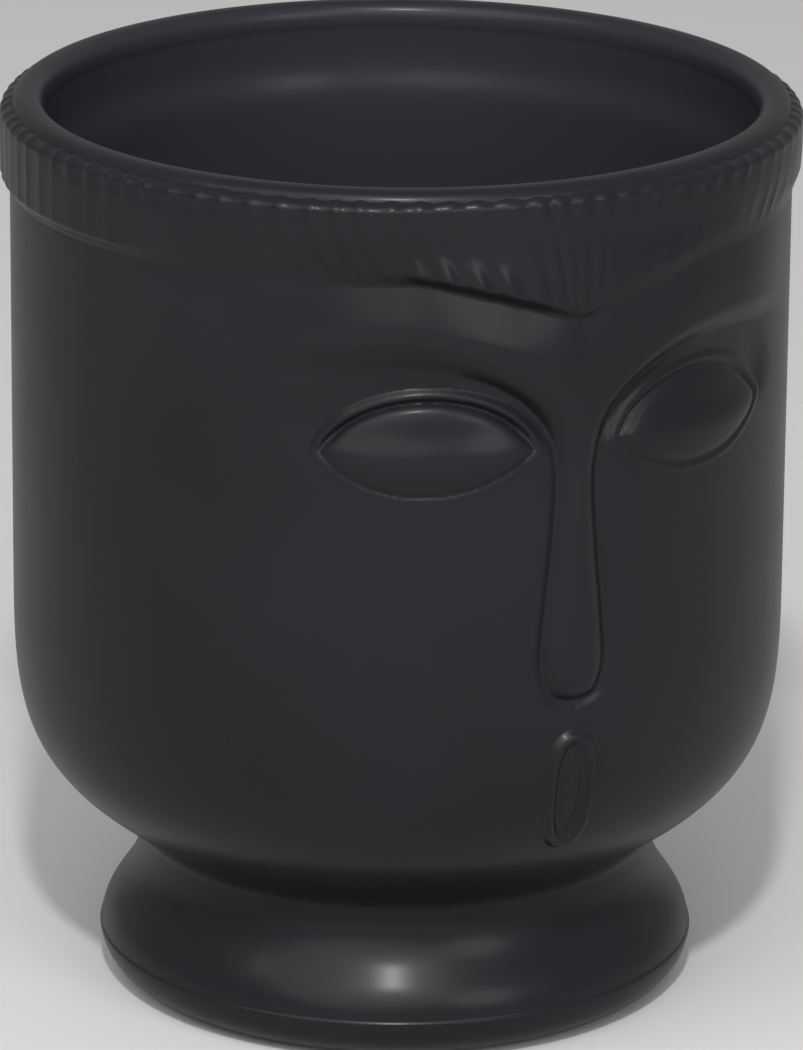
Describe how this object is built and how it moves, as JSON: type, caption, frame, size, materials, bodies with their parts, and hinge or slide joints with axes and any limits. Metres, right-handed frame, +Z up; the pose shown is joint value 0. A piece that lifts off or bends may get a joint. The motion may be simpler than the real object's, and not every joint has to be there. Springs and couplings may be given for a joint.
{
  "type": "candle jar",
  "caption": "Footed ceramic cup for a poured candle, with a rolled lip, a ribbed hair band and a stylised mask face in low relief.",
  "frame": {"origin": "centre of the ring that the foot stands on", "axes": "+Z up along the axis of the cup, -Y towards the viewer who faces the mask, +X to that viewer's right"},
  "size_m": [0.1, 0.1, 0.1158],
  "materials": {
    "cup_glaze": "satin charcoal-black glaze",
    "foot_glaze": "satin charcoal-black glaze, pooled a little in the waist",
    "relief_glaze": "satin charcoal-black glaze, a little glossier on the raised edges"
  },
  "bodies": {
    "root": {"foot": "foot_glaze", "luting_ring": "foot_glaze", "cup": "cup_glaze", "rim_lip": "cup_glaze", "hair_band": "relief_glaze", "brow_and_nose": "relief_glaze", "left_eye": "relief_glaze", "right_eye": "relief_glaze", "left_eyelid": "relief_glaze", "right_eyelid": "relief_glaze", "mouth_ring": "relief_glaze"}
  },
  "joints": []
}
